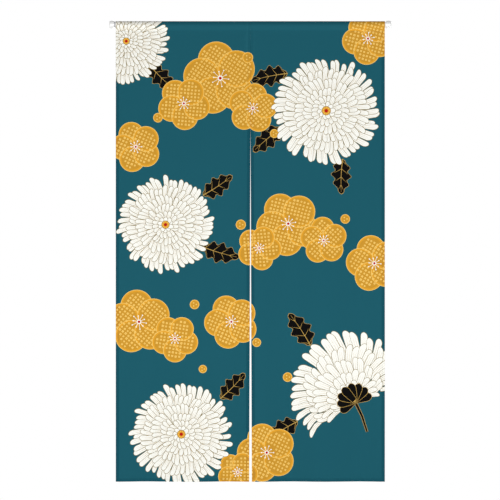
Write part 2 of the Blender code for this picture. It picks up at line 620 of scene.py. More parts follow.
@dataclass
class Bloom(Motif):
    """A white bloom of many long slim petals with olive edges, seen from above.

    Attributes:
        line: The width of its lines.
        spread: How many degrees its petals span.
        stagger: How far every second row is shifted, in petals.
        flatten: How much shorter the petals are that point away from +X.
        aside: How far a petal may stray from its place, in petals.
        lengths: The least and greatest length of a petal, as a share of its row's.
        widths: The least and greatest width of a petal, as a share of the room for it.
        bends: The least and greatest lean of a petal, as a share of its row's.
        tip_round: How far the round tip reaches, in halves of the petal's width.
        waist: The petal's half width at its base and at its middle, as shares of the greatest.
        veined: The length from which a petal has veins.
        heart_share: The heart's radius, as a share of the bloom's.
        heart_edge: The width of the heart's edge line.
        heart_dots: How many dots the heart has.
        rows: Its rows of petals, from the outermost in.
    """

    line: float = 1.25
    spread: float = 360.0
    stagger: float = 0.5
    flatten: float = 0.0
    aside: float = 0.14
    lengths: tuple[float, float] = (0.92, 1.03)
    widths: tuple[float, float] = (0.88, 1.0)
    bends: tuple[float, float] = (0.4, 1.3)
    tip_round: float = 1.25
    waist: tuple[float, float] = (0.62, 0.86)
    veined: float = 30.0
    heart_share: float = 0.085
    heart_edge: float = 1.4
    heart_dots: int = 9
    rows: tuple[PetalRow, ...] = (
        PetalRow(52, 0.55, 1.00, 0.09),
        PetalRow(46, 0.38, 0.81, -0.07),
        PetalRow(37, 0.23, 0.62, 0.06),
        PetalRow(27, 0.11, 0.44, -0.05),
        PetalRow(18, 0.05, 0.29, 0.04),
        PetalRow(10, 0.01, 0.17, 0.02),
    )

    def petal(self, base: float, tip: float, half: float, bend: float) -> np.ndarray:
        """One petal's outline along +X: slim at its base and round at its tip.

        Args:
            base: Where it starts.
            tip: Where it ends.
            half: Half its greatest width.
            bend: How far its tip leans sideways.

        Returns:
            The outline.
        """
        cap = self.tip_round * half
        turns = np.radians([0, 27, 50, 70, 83])
        x = np.concatenate([[base, (base + tip - cap) / 2], tip - cap + cap * np.sin(turns)])
        y = np.concatenate([half * np.array(self.waist), half * np.cos(turns)])
        edge = x + 1j * y
        outline = np.concatenate([edge.conj(), [tip], edge[::-1]])
        share = (outline.real - base) / (tip - base)
        return outline + 1j * bend * share**2

    def shapes(self) -> list[Shape]:
        """Each row's petals from the outermost in, and then the heart.

        Returns:
            The shapes, from the lowest to the uppermost.
        """
        chance = random.Random(self.seed)
        out = []
        for number, row in enumerate(self.rows):
            pitch = 2 * math.pi / row.count
            count = round(row.count * self.spread / 360)
            order = list(range(count))
            chance.shuffle(order)
            for i in order:
                step = i - (count - 1) / 2 + self.stagger * (number % 2)
                step += chance.uniform(-self.aside, self.aside)
                short = 1 - self.flatten * math.sin(pitch * step / 2) ** 2
                tip = self.size * row.tip * short * chance.uniform(*self.lengths)
                half = 0.5 * pitch * tip * chance.uniform(*self.widths)
                bend = self.size * row.bend * chance.uniform(*self.bends)
                out += self.one_petal(self.size * row.base, tip, half, bend, pitch * step)
        return out + self.heart()

    def one_petal(self, base: float, tip: float, half: float, bend: float, angle: float) -> list[Shape]:
        """A petal's edge, its white and, where it is long enough, its two veins.

        Args:
            base: Where it starts.
            tip: Where it ends.
            half: Half its greatest width.
            bend: How far its tip leans sideways.
            angle: Which way it points, in radians.

        Returns:
            The shapes.
        """
        way = np.exp(1j * angle)
        line = self.line
        out = [self.put(way * self.petal(base, tip, half, bend), Ink.OLIVE)]
        inner = self.petal(base + line, tip - line, half - line, bend)
        out.append(self.put(way * inner, Ink.WHITE))
        if tip - base > self.veined:
            share = np.array([0.15, 0.5, 0.84])
            spine = base + (tip - base) * share + 1j * bend * share**2
            for aside in (-0.3, 0.3):
                vein = strip(spine + 1j * aside * half, np.array([0.4, 0.36, 0.05]))
                out.append(self.put(way * vein, Ink.GOLD))
        return out

    def heart(self) -> list[Shape]:
        """The gold heart with its red middle and a ring of straw dots.

        Returns:
            The shapes, from the lowest to the uppermost.
        """
        radius = self.heart_share * self.size
        bands = ((0.0, Ink.OLIVE), (self.heart_edge, Ink.AMBER))
        out = [self.put(ring(0, radius - inset, 16), ink) for inset, ink in bands]
        dots = ring(0, 0.68 * radius, self.heart_dots)
        out += [self.put(ring(dot, 0.13 * radius, 5), Ink.STRAW) for dot in dots]
        return out + [self.put(ring(0, 0.4 * radius, 10), Ink.RED)]


@dataclass
class FanBloom(Bloom):
    """The same bloom seen from the side: a fan of petals over a dark calyx.

    Attributes:
        spread: How many degrees its petals span.
        stagger: How far every second row is shifted, in petals.
        flatten: How much shorter the petals are that point away from +X.
        sepals: Which way its sepals point, in degrees.
        sepal_length: A sepal's length, as a share of the bloom's radius.
        sepal_half: Half its width, as the same share.
        sepal_edge: The width of its gold edge.
    """

    spread: float = 196.0
    stagger: float = 0.0
    flatten: float = 0.42
    sepals: tuple[int, ...] = (-100, 100, -72, 72, -44, 44, -15, 15)
    sepal_length: float = 0.25
    sepal_half: float = 0.062
    sepal_edge: float = 1.2

    def heart(self) -> list[Shape]:
        """The calyx: a row of short black sepals with gold edges, and a short stalk.

        Returns:
            The shapes, from the lowest to the uppermost.
        """
        out = []
        stalk = self.size * np.array([-0.46 + 0.05j, -0.24 + 0.01j, 0.0])
        out.append(self.put(strip(stalk, np.array([3.6, 4.4, 5.2])), Ink.GOLD))
        out.append(self.put(strip(stalk, np.array([2.4, 3.2, 4.0])), Ink.BLACK))
        tip, half, edge = self.sepal_length * self.size, self.sepal_half * self.size, self.sepal_edge
        for degrees in self.sepals:
            way = np.exp(1j * math.radians(degrees))
            sepal = self.petal(0.0, tip, half, 0.0)
            inner = self.petal(edge, tip - edge, half - edge, 0.0)
            out += [self.put(way * sepal, Ink.GOLD), self.put(way * inner, Ink.BLACK)]
        return out


@dataclass
class Blossom(Motif):
    """A five-petalled ochre blossom with a bright rim and a tie-dyed lattice of straw dots.

    Attributes:
        rim: The width of its bright line.
        glow: The width of the amber band inside the line.
        dot_pitch: The lattice's pitch.
        dot: Half a dot's width.
        dot_sizes: A dot's least and greatest size, as a share of that.
        dot_eye: Half the width of a dot's ochre middle, as a share of the dot's.
        dot_turn: How far a dot may be turned, in radians.
        dot_room: The space between the dots and the amber band, in dots.
        aside: How far a dot may stray from the lattice.
        clear: The share of the blossom's radius round its middle that has no dots.
        stamen_count: How many stamens it has.
        stamen_reach: The lengths of its short and long stamens, as shares of its radius.
        stamen_half: Half a stamen's width.
        stamen_end: The radius of a stamen's round end.
        eye: The radii of its white and its red middle, as shares of its radius.
    """

    rim: float = 1.7
    glow: float = 5.0
    dot_pitch: float = 15.6
    dot: float = 4.2
    dot_sizes: tuple[float, float] = (0.86, 1.12)
    dot_eye: float = 0.26
    dot_turn: float = 0.12
    dot_room: float = 1.1
    aside: float = 0.7
    clear: float = 0.27
    stamen_count: int = 10
    stamen_reach: tuple[float, float] = (0.18, 0.23)
    stamen_half: float = 0.6
    stamen_end: float = 2.2
    eye: tuple[float, float] = (0.07, 0.042)

    @property
    def petal_radius(self) -> float:
        """The radius of a petal, and its middle's distance from the blossom's."""
        return 0.5 * self.size

    def middles(self) -> np.ndarray:
        """The middles of the five round petals."""
        return ring(0, self.petal_radius, 5, math.pi / 2)

    def shapes(self) -> list[Shape]:
        """The petals' rims and fills, the lattice of dots, and the stamens.

        Returns:
            The shapes, from the lowest to the uppermost.
        """
        out = []
        bands = ((0.0, Ink.STRAW), (self.rim, Ink.AMBER), (self.rim + self.glow, Ink.OCHRE))
        for middle in self.middles():
            for inset, ink in bands:
                out.append(self.put(ring(middle, self.petal_radius - inset, 36), ink))
        return out + self.dots() + self.stamens()

    def dots(self) -> list[Shape]:
        """The slanted lattice of small square rings that fills the petals short of their rim.

        Returns:
            The shapes, each ring's outside before its middle.
        """
        out = []
        chance = random.Random(self.seed)
        reach = self.petal_radius - self.rim - self.glow - self.dot_room * self.dot
        count = int(self.size / self.dot_pitch * 2)
        for i in range(-count, count + 1):
            for j in range(-count, count + 1):
                if (i + j) % 2:
                    continue
                shift = complex(*(chance.uniform(-self.aside, self.aside) for _ in range(2)))
                place = (i + 1j * j) * self.dot_pitch / 2 + shift
                near = np.abs(self.middles() - place).min()
                if near > reach or abs(place) < self.clear * self.size:
                    continue
                half = self.dot * chance.uniform(*self.dot_sizes)
                turn = chance.uniform(-self.dot_turn, self.dot_turn)
                out.append(self.put(ring(place, half, 4, turn), Ink.STRAW))
                out.append(self.put(ring(place, self.dot_eye * half, 4), Ink.OCHRE))
        return out

    def stamens(self) -> list[Shape]:
        """Fine lines with round ends that spring from a small round middle.

        Returns:
            The shapes, from the lowest to the uppermost.
        """
        out = []
        for i, way in enumerate(ring(0, 1.0, self.stamen_count, 0.3)):
            end = self.size * self.stamen_reach[i % 2] * way
            stalk = strip(np.array([0, end / 2, end]), np.full(3, self.stamen_half))
            out += [self.put(stalk, Ink.WHITE), self.put(ring(end, self.stamen_end, 7), Ink.WHITE)]
        white, red = self.eye
        out.append(self.put(ring(0, white * self.size, 12), Ink.WHITE))
        return out + [self.put(ring(0, red * self.size, 9), Ink.RED)]


@dataclass
class Leaf(Motif):
    """A black lobed leaf with a gold edge and gold veins, grown from the motif's middle along +X.

    Attributes:
        line: The width of its edge line.
        lobes: How many lobes each side has.
        lobe_depth: How much a lobe changes the width, as a share of it.
        lobe_start: How far into a lobe the leaf starts, in lobes.
        slim: Half its width, as a share of its length.
        widest: Below 1 the leaf is widest nearer its base, and above 1 nearer its tip.
        blunt: Below 1 its ends are blunter.
        curl: How far its tip leans sideways, as a share of its length.
        tip_line: How much wider its edge line is at the tip.
        side_vein: Where a side vein leaves the middle one and where it ends, in lobes.
    """

    line: float = 1.3
    lobes: int = 4
    lobe_depth: float = 0.24
    lobe_start: float = 0.12
    slim: float = 0.24
    widest: float = 0.85
    blunt: float = 0.7
    curl: float = 0.10
    tip_line: float = 1.4
    side_vein: tuple[float, float] = (0.28, 0.86)

    def half_width(self, share: np.ndarray) -> np.ndarray:
        """Half the leaf's width at shares of its length.

        Args:
            share: Shares of its length, from the base.

        Returns:
            The half widths.
        """
        body = np.sin(np.pi * np.clip(share, 0.0, 1.0) ** self.widest)
        lobe = 1 + self.lobe_depth * np.cos(2 * np.pi * (self.lobes * share + self.lobe_start))
        return self.size * self.slim * np.maximum(body, 0.0) ** self.blunt * lobe

    def spine(self, share: np.ndarray) -> np.ndarray:
        """The middle line's places at shares of the leaf's length."""
        return self.size * (share + 1j * self.curl * share**2)

    def blade(self, inset: float) -> np.ndarray:
        """The leaf's outline, drawn in from its edge by inset.

        Args:
            inset: How far in from the edge.

        Returns:
            The outline.
        """
        start, stop = inset / self.size, 1 - self.tip_line * inset / self.size
        ends = self.spine(np.array([start, stop]))
        share = np.linspace(start, stop, 23)[1:-1]
        half = 1j * np.maximum(self.half_width(share) - inset, 0.3)
        spine = self.spine(share)
        return np.concatenate([ends[:1], spine - half, ends[1:], (spine + half)[::-1]])

    def shapes(self) -> list[Shape]:
        """The blade with its edge, the middle vein, and a pair of side veins to each lobe.

        Returns:
            The shapes, from the lowest to the uppermost.
        """
        out = [self.put(self.blade(0.0), Ink.GOLD), self.put(self.blade(self.line), Ink.BLACK)]
        share = np.linspace(0.0, 0.93, 8)
        out.append(self.put(strip(self.spine(share), 1.1 * (1 - share) + 0.2), Ink.GOLD))
        for lobe in range(self.lobes):
            ends = (lobe + np.array(self.side_vein)) / self.lobes * 0.9
            start, end = self.spine(ends)
            half = 1j * 0.8 * self.half_width(ends)[1]
            for tip in (end + half, end - half):
                vein = np.array([start, (start + tip) / 2, tip])
                out.append(self.put(strip(vein, np.array([0.7, 0.5, 0.1])), Ink.GOLD))
        return out


@dataclass
class Bud(Motif):
    """A small round ochre bud."""

    def shapes(self) -> list[Shape]:
        """Its rim, its fill and three straw dots.

        Returns:
            The shapes, from the lowest to the uppermost.
        """
        bands = ((0.0, Ink.STRAW), (1.6, Ink.AMBER), (4.5, Ink.OCHRE))
        out = [self.put(ring(0, self.size - inset, 22), ink) for inset, ink in bands]
        return out + [self.put(ring(dot, 2.5, 5), Ink.STRAW) for dot in ring(0, 0.38 * self.size, 3)]


# Each motif's middle across and up, its size, its turn and its seed, from the lowest to the uppermost.
PRINT: tuple[Motif, ...] = (
    Leaf(118, 1290, 118, 186),
    Leaf(100, 1118, 118, 214),
    Leaf(292, 1020, 112, 262),
    Leaf(-150, 905, 112, 28),
    Leaf(-150, 742, 120, -22),
    Leaf(190, 430, 122, 118),
    Leaf(150, 190, 118, 206),
    Leaf(-95, 262, 112, 40),
    Leaf(-320, 1318, 112, -50),
    Blossom(-95, 1275, 117, 12, 1),
    Blossom(-210, 1195, 84, 40, 2),
    Blossom(8, 1180, 79, -8, 3),
    Blossom(-362, 1058, 81, 20, 4),
    Blossom(120, 815, 102, 30, 5),
    Blossom(232, 762, 75, 5, 6),
    Blossom(28, 738, 71, 50, 7),
    Blossom(392, 690, 90, 14, 8),
    Blossom(-352, 505, 102, 8, 9),
    Blossom(-238, 452, 75, 36, 10),
    Blossom(-60, 505, 86, 22, 11),
    Blossom(52, 92, 94, 18, 12),
    Blossom(-40, 30, 65, 44, 13),
    Blossom(372, 1400, 83, 30, 14),
    Bud(-8, 1340, 17),
    Bud(-292, 1150, 15),
    Bud(76, 1100, 14),
    Bud(300, 830, 15),
    Bud(-30, 812, 16),
    Bud(-176, 560, 15),
    Bud(20, 440, 14),
    Bud(-150, 356, 13),
    Bud(118, 330, 15),
    Bloom(-392, 1392, 135, 10, 21),
    Bloom(240, 1172, 172, 0, 22),
    Bloom(-268, 812, 154, 15, 23),
    FanBloom(330, 255, 228, 118, 24),
    Bloom(-218, 150, 162, 25, 25),
)


class Graph:
    """A node tree under construction."""

    def __init__(self, tree: bpy.types.NodeTree) -> None:
        """Keeps the tree that nodes are added to."""
        self.tree = tree

    def add(
        self, kind: str, inputs: dict[str | int, object] | None = None, **settings: object
    ) -> bpy.types.Node:
        """Adds a node.

        Args:
            kind: The node's type name.
            inputs: Values or sockets for its inputs, by name or number.
            settings: Values for its own settings.

        Returns:
            The new node.
        """
        node = self.tree.nodes.new(kind)
        for name, value in settings.items():
            setattr(node, name, value)
        for key, value in (inputs or {}).items():
            self.feed(node.inputs[key], value)
        return node

    def feed(self, socket: bpy.types.NodeSocket, value: object) -> None:
        """Gives an input a value, or joins another node's output to it.

        Args:
            socket: The input.
            value: The value or the output.
        """
        if isinstance(value, bpy.types.NodeSocket):
            self.tree.links.new(value, socket)
        else:
            socket.default_value = value

    def math(self, operation: str, *values: object) -> bpy.types.NodeSocket:
        """One step of arithmetic on numbers or sockets."""
        return self.add("ShaderNodeMath", dict(enumerate(values)), operation=operation).outputs[0]


@dataclass(frozen=True)
class Sockets:
    """The named sockets of a shader node group.

    Attributes:
        inputs: For each input its socket type and its default value, or None for no default.
        outputs: For each output its socket type.
    """

    inputs: dict[str, tuple[str, object]]
    outputs: dict[str, str]

    def group(self, name: str) -> tuple[Graph, bpy.types.Node, bpy.types.Node]:
        """A new shader node group with these sockets.

        Args:
            name: The group's name.

        Returns:
            Its graph, its input node and its output node.
        """
        tree = bpy.data.node_groups.new(name, "ShaderNodeTree")
        for title, (kind, value) in self.inputs.items():
            socket = tree.interface.new_socket(title, in_out="INPUT", socket_type=kind)
            if value is not None:
                socket.default_value = value
        for title, kind in self.outputs.items():
            tree.interface.new_socket(title, in_out="OUTPUT", socket_type=kind)
        graph = Graph(tree)
        return graph, graph.add("NodeGroupInput"), graph.add("NodeGroupOutput")


def weave_group() -> bpy.types.NodeTree:
    """The plain weave: crossing threads that rise and dip in turn, with uneven yarn.

    Returns:
        A group whose Height is the weave's relief from 0 to 1, whose Shade is the yarn's
        unevenness about 1, and whose Slub is the same unevenness about 0.
    """
    sockets = Sockets(
        {
            "Place": ("NodeSocketVector", None),
            "Pitch": ("NodeSocketFloat", 0.6),
            "Slub": ("NodeSocketFloat", 0.05),
        },
        {"Height": "NodeSocketFloat", "Shade": "NodeSocketFloat", "Slub": "NodeSocketFloat"},
    )
    graph, given, out = sockets.group("Plain weave")
    split = graph.add("ShaderNodeSeparateXYZ", {0: given.outputs["Place"]})
    waves = []
    for axis in ("X", "Y"):
        turns = graph.math("DIVIDE", split.outputs[axis], given.outputs["Pitch"])
        waves.append(graph.math("SINE", graph.math("MULTIPLY", turns, math.pi)))
    over = graph.math("GREATER_THAN", graph.math("MULTIPLY", *waves), 0.0)
    warp, weft = (graph.math("ABSOLUTE", wave) for wave in waves)
    lift = graph.math("MULTIPLY", graph.math("SUBTRACT", warp, weft), over)
    yarns = []
    for stretch in ((1.1, 0.035, 1.0), (0.035, 1.1, 1.0)):
        mapped = graph.add("ShaderNodeMapping", {"Vector": given.outputs["Place"], "Scale": stretch})
        noise = graph.add(
            "ShaderNodeTexNoise",
            {"Vector": mapped.outputs[0], "Scale": 1.0, "Detail": 2.0, "Roughness": 0.6},
            noise_dimensions="2D",
        )
        yarns.append(graph.math("SUBTRACT", noise.outputs[0], 0.5))
    uneven = graph.math("ADD", *yarns)
    woven = graph.math("ADD", weft, lift)
    graph.feed(out.inputs["Height"], graph.math("MULTIPLY_ADD", uneven, 0.8, woven))
    toned = graph.math("MULTIPLY_ADD", uneven, given.outputs["Slub"], 1.0)
    graph.feed(out.inputs["Shade"], toned)
    graph.feed(out.inputs["Slub"], uneven)
    return graph.tree


def dye_and_shade_group() -> bpy.types.NodeTree:
    """How a dye shows on the cloth: darker on the hems and their folded edges as painted shade, paler
    on the seam's ridge and the sleeve's swell as painted highlight, and weaker on the wrong side.

    Returns:
        A group that turns a dye's colour into the colour of the cloth's surface, painted shade and
        highlight included.
    """
    sockets = Sockets(
        {
            "Dye": ("NodeSocketColor", (0.5, 0.5, 0.5, 1.0)),
            "Shade": ("NodeSocketFloat", 1.0),
            "Painted shade and highlight strength": ("NodeSocketFloat", 0.098),
            "Fade": ("NodeSocketFloat", 0.12),
            "Undyed": ("NodeSocketColor", (0.42, 0.44, 0.42, 1.0)),
        },
        {"Colour": "NodeSocketColor"},
    )
    graph, given, out = sockets.group("Dye and painted shade on cloth")
    # A power above 1 darkens the dye as painted shade on the hems; below 1 it lightens it as painted
    # highlight on the seam's ridge and the sleeve's swell.
    tone = graph.add("ShaderNodeAttribute", attribute_name="painted_shade_and_highlight")
    wrong = graph.add("ShaderNodeAttribute", attribute_name="wrong_side")
    painted_shade_power = graph.math("MULTIPLY_ADD", tone.outputs["Fac"], given.outputs["Painted shade and highlight strength"], 1.0)
    deep = graph.add("ShaderNodeGamma", {"Color": given.outputs["Dye"], "Gamma": painted_shade_power})
    toned = graph.add("ShaderNodeVectorMath", {0: deep.outputs[0]}, operation="SCALE")
    graph.feed(toned.inputs["Scale"], given.outputs["Shade"])
    faded = graph.math("MULTIPLY", wrong.outputs["Fac"], given.outputs["Fade"])
    mix = graph.add("ShaderNodeMix", {"Factor": faded}, data_type="RGBA")
    graph.feed(mix.inputs["A"], toned.outputs[0])
    graph.feed(mix.inputs["B"], given.outputs["Undyed"])
    graph.feed(out.inputs["Colour"], mix.outputs["Result"])
    return graph.tree


@dataclass(frozen=True)
class ClothFinish:
    """The finish of the printed plain weave.

    Attributes:
        pitch: The distance between threads in millimetres.
        relief: The weave's depth in metres.
        bump: How strongly the relief shows.
        roughness: How matt the cloth is.
        uneven: How much the yarn's unevenness changes that.
        specular: How much the fibres mirror.
        sheen: How much fuzz lights up at its edge.
        sheen_roughness: How soft that fuzz is.
    """

    pitch: float = 0.62
    relief: float = 0.00006
    bump: float = 0.5
    roughness: float = 0.86
    uneven: float = 0.12
    specular: float = 0.08
    sheen: float = 0.08
    sheen_roughness: float = 0.3

    def material(
        self, ink: Ink, weave: bpy.types.NodeTree, dyed: bpy.types.NodeTree
    ) -> bpy.types.Material:
        """The cloth's material where one ink is printed.

        Args:
            ink: The ink.
            weave: The weave's node group.
            dyed: The node group for the dye, with its painted shade and highlight.

        Returns:
            The new material.
        """
        material = bpy.data.materials.new(f"cloth {ink.value.title}")
        material.use_nodes = True
        graph = Graph(material.node_tree)
        shader = material.node_tree.nodes["Principled BSDF"]
        shader.inputs["Specular IOR Level"].default_value = self.specular
        shader.inputs["Sheen Weight"].default_value = self.sheen
        shader.inputs["Sheen Roughness"].default_value = self.sheen_roughness
        flat = graph.add("ShaderNodeUVMap", uv_map="FlatCloth")
        threads = graph.add("ShaderNodeGroup", node_tree=weave)
        graph.feed(threads.inputs["Place"], flat.outputs[0])
        threads.inputs["Pitch"].default_value = self.pitch
        shader.inputs["Base Color"].default_value = ink.value.linear()
        # Broad fields also carry the painted shade of the hems and the painted highlights of the seam's
        # ridge and the sleeve's swell.
        if ink.value.fill:
            dye = graph.add("ShaderNodeGroup", node_tree=dyed)
            dye.inputs["Dye"].default_value = ink.value.linear()
            graph.feed(dye.inputs["Shade"], threads.outputs["Shade"])
            graph.feed(shader.inputs["Base Color"], dye.outputs["Colour"])
        rough = graph.math("MULTIPLY_ADD", threads.outputs["Slub"], self.uneven, self.roughness)
        graph.feed(shader.inputs["Roughness"], rough)
        bump = graph.add("ShaderNodeBump", {"Height": threads.outputs["Height"], "Strength": self.bump})
        bump.inputs["Distance"].default_value = self.relief
        graph.feed(shader.inputs["Normal"], bump.outputs[0])
        return material


@dataclass(frozen=True)
class BakeSheet:
    """Where a panel's faces lie on its map for baking, in shares of the map's side.

    Attributes:
        left: The space to the left of the printed face.
        face: The width of one face.
        pitch: From the printed face to the wrong side.
        rim: Where the rim's strip starts.
        rim_width: The strip's width.
        foot: The space below them all.
        tall: The height of a face.
        rim_tall: The height of the strip.
        rim_lean: How far a place across moves up the strip, which spreads the foot's rim there.
    """

    left: float = 0.004
    face: float = 0.476
    pitch: float = 0.49
    rim: float = 0.985
    rim_width: float = 0.012
    foot: float = 0.002
    tall: float = 0.996
    rim_tall: float = 0.99
    rim_lean: float = 0.02


@dataclass
class Panel:
    """One cloth panel: its flat print, cut into fields of one ink each, hung over the rod.

    Attributes:
        side: Which half of the curtain it is.
        cloth: The cloth's sizes and hang.
        step: The spacing of the mesh's own points.
        sleeve_step: The spacing of its rows round the rod.
        welding: How near two flat points are one.
        slack: How far a point may lie off a straight line and still be left out of it.
        sheet: The layout of the map for baking.
        points: The flat drawing's points.
        lines: The flat drawing's lines, as pairs of its points' numbers.
    """

    side: Side
    cloth: Cloth
    step: float = 12.0
    sleeve_step: float = 2.0
    welding: float = 0.02
    slack: float = 0.04
    sheet: BakeSheet = BakeSheet()
    points: list[tuple[float, float]] = field(default_factory=list)
    lines: list[tuple[int, int]] = field(default_factory=list)

    @property
    def name(self) -> str:
        """The piece's name."""
        return f"cloth_{self.side.name.lower()}"

    @property
    def node(self) -> str:
        """The solid that the piece stands for."""
        return f"panel_{self.side.name.lower()}"

    def draw(self, across: np.ndarray, up: np.ndarray, closed: bool = False) -> None:
        """Adds a chain of points and the lines between them to the flat drawing.

        Args:
            across: The points' places across.
            up: The points' places up.
            closed: True where the last point joins the first.
        """
        first = len(self.points)
        across, up = np.broadcast_arrays(across, up)
        self.points += list(zip(across.tolist(), up.tolist()))
        last = len(self.points) - 1
        self.lines += [(i, i + 1) for i in range(first, last)]
        if closed:
            self.lines.append((last, first))

    def levels(self) -> np.ndarray:
        """The places up the cloth where the mesh has a row of points along its edges.

        Returns:
            The places, from the foot to the turned end.
        """
        cloth = self.cloth
        hung = even_rows(0.0, cloth.sleeve_up, self.step)
        over = even_rows(cloth.sleeve_up, cloth.length, self.sleeve_step)
        return np.concatenate([hung, over[1:]])

    def hem_rows(self) -> tuple[float, ...]:
        """How far in from the edge the mesh has a line along it: close where the hem bends.

        Returns:
            The distances, from the edge in.
        """
        cloth = self.cloth
        stitched, reach = cloth.stitch_inset, cloth.trough_reach
        rounded = (0.0, 0.1, 0.35, cloth.edge_round)
        return (*rounded, stitched - reach, stitched, stitched + reach, cloth.hem, cloth.hem + 0.7)

    def draw_frame(self) -> None:
        """Draws the panel's edge, its hem lines, its rows round the rod and its inner points."""
        cloth = self.cloth
        levels = self.levels()
        left, right = cloth.edges(self.side, levels)
        for away in self.hem_rows():
            rows = levels >= away
            up = np.concatenate([[away], levels[rows][levels[rows] > away]])
            self.draw(cloth.edges(self.side, up)[0] + away, up)
            self.draw(cloth.edges(self.side, up)[1] - away, up)
            self.draw(even_rows(left[0] + away, right[0] - away, self.step), away)
        for number, up in enumerate(levels[1:]):
            low, high = cloth.edges(self.side, up)
            row = even_rows(float(low), float(high), self.step)
            if up >= cloth.sleeve_up:
                self.draw(row, up)
            else:
                self.points += [(x + self.step / 2 * (number % 2), up) for x in row[1:-2].tolist()]

    def draw_print(self) -> list[Shape]:
        """Draws the print's shapes that reach this panel.

        Returns:
            The shapes, from the lowest to the uppermost.
        """
        low, high = self.cloth.edges(self.side, np.array([0.0, self.cloth.length]))
        out = []
        for motif in PRINT:
            for shape in motif.shapes():
                across, up = shape.outline.real, shape.outline.imag
                beside = across.max() < low.min() or across.min() > high.max()
                if beside or up.max() < 0 or up.min() > self.cloth.length:
                    continue
                self.draw(across, up, closed=True)
                out.append(shape)
        return out

    def split(self) -> tuple[np.ndarray, np.ndarray]:
        """Cuts the flat drawing into triangles along its lines.

        Returns:
            The flat points and the triangles.
        """
        corners = [Vector(p) for p in self.points]
        found = delaunay_2d_cdt(corners, self.lines, [], 0, self.welding, False)
        points = np.array([(p.x, p.y) for p in found[0]])
        return points, np.array([t for t in found[2] if len(t) == 3])

    def on_panel(self, places: np.ndarray) -> np.ndarray:
        """Which flat places lie on the panel.

        Args:
            places: Flat places, as rows of two numbers.

        Returns:
            True for each place on it.
        """
        levels = self.levels()
        left, right = self.cloth.edges(self.side, levels)
        inside = places[:, 0] > np.interp(places[:, 1], levels, left)
        inside &= places[:, 0] < np.interp(places[:, 1], levels, right)
        return inside & (places[:, 1] > 0) & (places[:, 1] < self.cloth.length)

    def cut(self) -> tuple[np.ndarray, np.ndarray, np.ndarray]:
        """Cuts the flat panel into triangles that each hold one ink.

        The first cut follows every line of the print. The second keeps only those where two inks
        meet, so no triangles are spent on what lies hidden under a later shape.

        Returns:
            The flat points, the triangles, and the number of each triangle's ink.
        """
        wide, tall = self.cloth.width, self.cloth.length
        border = ring(1j * tall / 2, wide + tall, 4)
        self.draw(border.real, border.imag, closed=True)
        shapes = self.draw_print()
        points, triangles = self.split()
        painted_on = self.colour(points[triangles].mean(1), shapes)
        borders = self.borders(points, triangles, painted_on)
        self.points, self.lines = [], []
        self.draw_frame()
        for start, end in borders:
            self.draw(np.array([start[0], end[0]]), np.array([start[1], end[1]]))
        points, triangles = self.split()
        triangles = triangles[self.on_panel(points[triangles].mean(1))]
        painted_on = self.colour(points[triangles].mean(1), shapes)
        used, triangles = np.unique(triangles, return_inverse=True)
        return points[used], triangles.reshape(-1, 3), painted_on

    def borders(
        self, points: np.ndarray, triangles: np.ndarray, painted_on: np.ndarray
    ) -> list[tuple[np.ndarray, np.ndarray]]:
        """The lines where two inks meet, without needless points along them.

        Args:
            points: The flat points.
            triangles: The triangles.
            painted_on: The number of each triangle's ink.

        Returns:
            The start and end point of each line.
        """
        sides = np.sort(triangles[:, [0, 1, 1, 2, 2, 0]].reshape(-1, 2), axis=1)
        inks = np.repeat(painted_on, 3)
        order = np.lexsort((sides[:, 1], sides[:, 0]))
        sides, inks = sides[order], inks[order]
        met = (sides[:-1] == sides[1:]).all(1) & (inks[:-1] != inks[1:])
        beside: dict[int, set[int]] = {}
        for a, b in sides[:-1][met].tolist():
            beside.setdefault(a, set()).add(b)
            beside.setdefault(b, set()).add(a)
        place = points[:, 0] + 1j * points[:, 1]
        for middle in list(beside):
            if len(beside[middle]) == 2:
                a, b = beside[middle]
                way = place[b] - place[a]
                off = abs((np.conj(way) * (place[middle] - place[a])).imag) / abs(way)
                if off < self.slack and b not in beside[a]:
                    for one, other in ((a, b), (b, a)):
                        beside[one].remove(middle)
                        beside[one].add(other)
                    del beside[middle]
        return [(points[a], points[b]) for a in beside for b in beside[a] if a < b]

    def colour(self, middles: np.ndarray, shapes: list[Shape]) -> np.ndarray:
        """Which ink each triangle wears.

        Args:
            middles: The triangles' middles.
            shapes: The print's shapes, from the lowest to the uppermost.

        Returns:
            The inks' numbers.
        """
        inks = list(Ink)
        painted_on = np.full(len(middles), inks.index(Ink.GROUND))
        order = np.argsort(middles[:, 1])
        sorted_up = middles[order, 1]
        for shape in shapes:
            across, up = shape.outline.real, shape.outline.imag
            first, last = np.searchsorted(sorted_up, [up.min(), up.max()])
            near = order[first:last]
            x = middles[near, 0]
            near = near[(x > across.min()) & (x < across.max())]
            painted_on[near[shape.holds(middles[near])]] = inks.index(shape.ink)
        return painted_on

